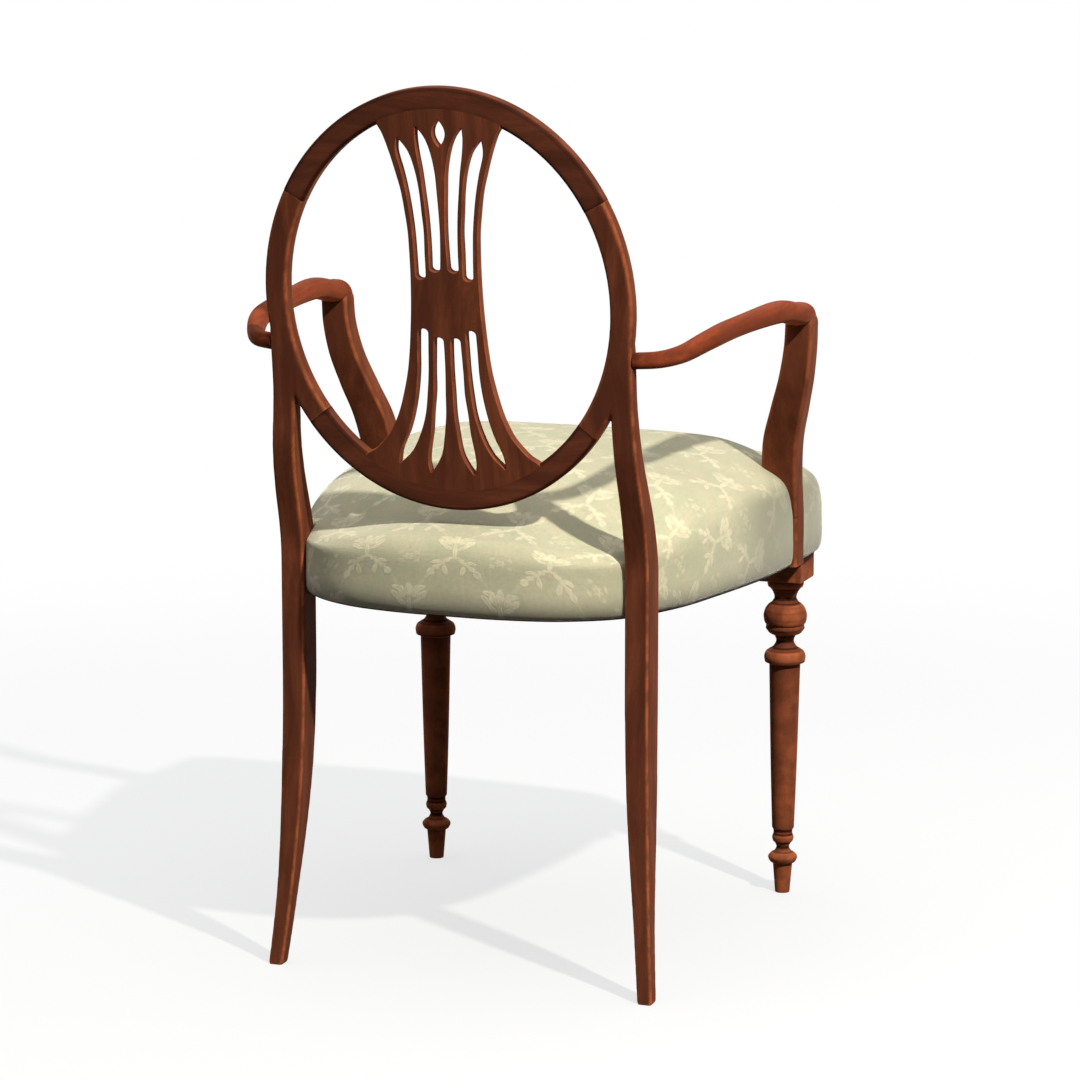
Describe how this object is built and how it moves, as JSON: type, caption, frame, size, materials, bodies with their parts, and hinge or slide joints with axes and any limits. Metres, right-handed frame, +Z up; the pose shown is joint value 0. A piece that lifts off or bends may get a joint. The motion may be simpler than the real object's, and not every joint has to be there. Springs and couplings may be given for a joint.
{
  "type": "oval-back open armchair",
  "caption": "Wooden dining armchair with an oval back, pierced splat, open arms, turned front legs, sabre rear legs and a stuffed-over seat in patterned cloth",
  "frame": {"origin": "on the floor, under the middle of the chair's bounding box", "axes": "+Z up, -Y the way a sitter faces, +X the sitter's left"},
  "size_m": [0.571, 0.5669, 0.9457],
  "materials": {
    "mahogany": "reddish mahogany, satin polish",
    "beech": "plain unfinished hardwood",
    "damask": "cream and sage tone-on-tone woven damask",
    "stuffing": "soft stuffing in its wadding",
    "webbing": "woven jute webbing",
    "hessian": "plain hessian",
    "lining": "black cotton lining",
    "steel": "bright steel wood screws"
  },
  "bodies": {
    "root": {"crest_rail": "mahogany", "lower_back_rail": "mahogany", "splat": "mahogany", "front_rail": "beech", "back_rail": "beech", "seat_canvas": "hessian", "seat_pad": "stuffing", "seat_cover": "damask", "dust_cover": "lining", "rear_leg_left": "mahogany", "front_leg_left": "mahogany", "arm_left": "mahogany", "arm_support_left": "mahogany", "side_rail_left": "beech", "front_corner_brace_left": "beech", "rear_corner_brace_left": "beech", "front_brace_screw_left": "steel", "rear_brace_screw_left": "steel", "upper_support_screw_left": "steel", "lower_support_screw_left": "steel", "rear_leg_right": "mahogany", "front_leg_right": "mahogany", "arm_right": "mahogany", "arm_support_right": "mahogany", "side_rail_right": "beech", "front_corner_brace_right": "beech", "rear_corner_brace_right": "beech", "front_brace_screw_right": "steel", "rear_brace_screw_right": "steel", "upper_support_screw_right": "steel", "lower_support_screw_right": "steel", "long_web_1": "webbing", "cross_web_1": "webbing", "long_web_2": "webbing", "cross_web_2": "webbing", "long_web_3": "webbing", "cross_web_3": "webbing"}
  },
  "joints": []
}
